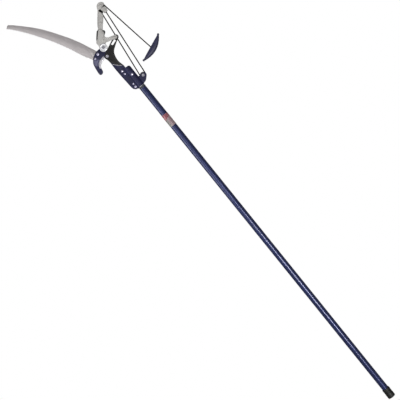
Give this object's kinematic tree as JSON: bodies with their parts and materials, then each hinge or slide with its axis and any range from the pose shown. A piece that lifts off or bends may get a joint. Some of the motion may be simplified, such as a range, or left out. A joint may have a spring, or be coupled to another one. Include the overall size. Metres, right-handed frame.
{
  "type": "telescoping pole saw",
  "caption": "Telescoping tube pole with a curved pruning saw, a hook-and-blade lopper worked by a rope, two sheaves and a pull handle.",
  "frame": {"origin": "centre of the butt end's flat face, on the pole's axis", "axes": "+X along the pole towards the head, +Y towards the side the saw and the hook point to, +Z out of the head plate's front face"},
  "size_m": [2.016, 0.4404, 0.0363],
  "materials": {
    "pole_blue": "gloss stoved enamel",
    "head_blue": "satin powder coat",
    "black_steel": "blackened low-friction coat",
    "cast_silver": "as cast, lightly blasted",
    "saw_steel": "ground along the blade",
    "zinc": "bright zinc plate",
    "tube_alloy": "drawn tube, satin",
    "black_rubber": "moulded, matt",
    "black_nylon": "moulded nylon",
    "grey_plastic": "moulded, satin",
    "handle_blue": "moulded, soft sheen",
    "rope": "braided cord",
    "label": "printed film"
  },
  "bodies": {
    "outer_pole": {"outer_tube": "pole_blue", "end_cap": "black_rubber", "lock_collar": "grey_plastic", "label_sticker": "label"},
    "lock_ring": {"lock_cam": "grey_plastic"},
    "head": {"inner_tube": "tube_alloy", "lock_plug": "black_nylon", "socket_front": "head_blue", "socket_back": "head_blue", "hook_plate": "head_blue", "counter_edge": "cast_silver", "saw_blade": "saw_steel", "flange_bolt_big_1": "zinc", "flange_nut_big_1": "zinc", "flange_bolt_big_2": "zinc", "flange_nut_big_2": "zinc", "flange_bolt_small_1": "zinc", "flange_nut_small_1": "zinc", "flange_bolt_small_2": "zinc", "flange_nut_small_2": "zinc", "saw_bolt_1": "zinc", "saw_nut_1": "zinc", "saw_bolt_2": "zinc", "saw_nut_2": "zinc", "tube_bolt": "zinc", "tube_nut": "zinc", "blade_pivot_bolt": "zinc", "blade_pivot_nut": "zinc", "lever_pivot_bolt": "zinc", "lever_pivot_nut": "zinc", "lower_sheave_axle": "zinc", "rope_lower_turn": "rope", "rope_strand_in": "rope", "rope_strand_out": "rope", "return_spring": "zinc"},
    "lever": {"lever_front": "cast_silver", "lever_back": "black_steel", "lever_hub_front": "cast_silver", "lever_hub_back": "cast_silver", "lever_rivet_1": "cast_silver", "lever_rivet_2": "cast_silver", "lever_rivet_3": "cast_silver", "becket_rivet": "cast_silver", "becket_block": "cast_silver", "slot_pin": "cast_silver", "upper_sheave_axle": "cast_silver", "rope_bushing": "black_nylon"},
    "cutting_blade": {"cutting_blade": "black_steel"},
    "upper_sheave": {"upper_sheave": "black_nylon"},
    "lower_sheave": {"lower_sheave": "black_nylon"},
    "rope_end": {"rope_upper_turn": "rope", "rope_handle_strand": "rope", "pull_handle": "handle_blue"}
  },
  "joints": [
    {"name": "pole_extend", "type": "slide", "parent": "outer_pole", "child": "lock_ring", "axis": [1, 0, 0], "range_m": [0, 1.15]},
    {"name": "twist_lock", "type": "hinge", "parent": "lock_ring", "child": "head", "pos_m": [0.1, 0, 0], "axis": [1, 0, 0], "range_deg": [0, 90]},
    {"name": "lever_pull", "type": "hinge", "parent": "head", "child": "lever", "pos_m": [1.7192, 0.0216, 0], "axis": [0, 0, -1], "range_deg": [0, 78], "stiffness_Nm_per_rad": 0.8, "springref_deg": -20.05, "deforming": ["rope_strand_in", "rope_strand_out", "return_spring"]},
    {"name": "blade_close", "type": "hinge", "parent": "head", "child": "cutting_blade", "pos_m": [1.6854, 0.0309, 0], "axis": [0, 0, -1], "range_deg": [0, 81]},
    {"name": "upper_sheave_spin", "type": "hinge", "parent": "lever", "child": "upper_sheave", "pos_m": [1.8505, -0.07, 0], "axis": [0, 0, -1], "continuous": true},
    {"name": "lower_sheave_spin", "type": "hinge", "parent": "head", "child": "lower_sheave", "pos_m": [1.5447, -0.0304, 0], "axis": [0, 0, -1], "continuous": true},
    {"name": "rope_swing", "type": "hinge", "parent": "lever", "child": "rope_end", "pos_m": [1.8505, -0.07, 0], "axis": [0, 0, -1], "range_deg": [-69, 0]}
  ],
  "couplings": [
    {"joint": "blade_close", "follows": "lever_pull", "ratio": 1.028},
    {"joint": "rope_swing", "follows": "lever_pull", "ratio": -0.87}
  ]
}
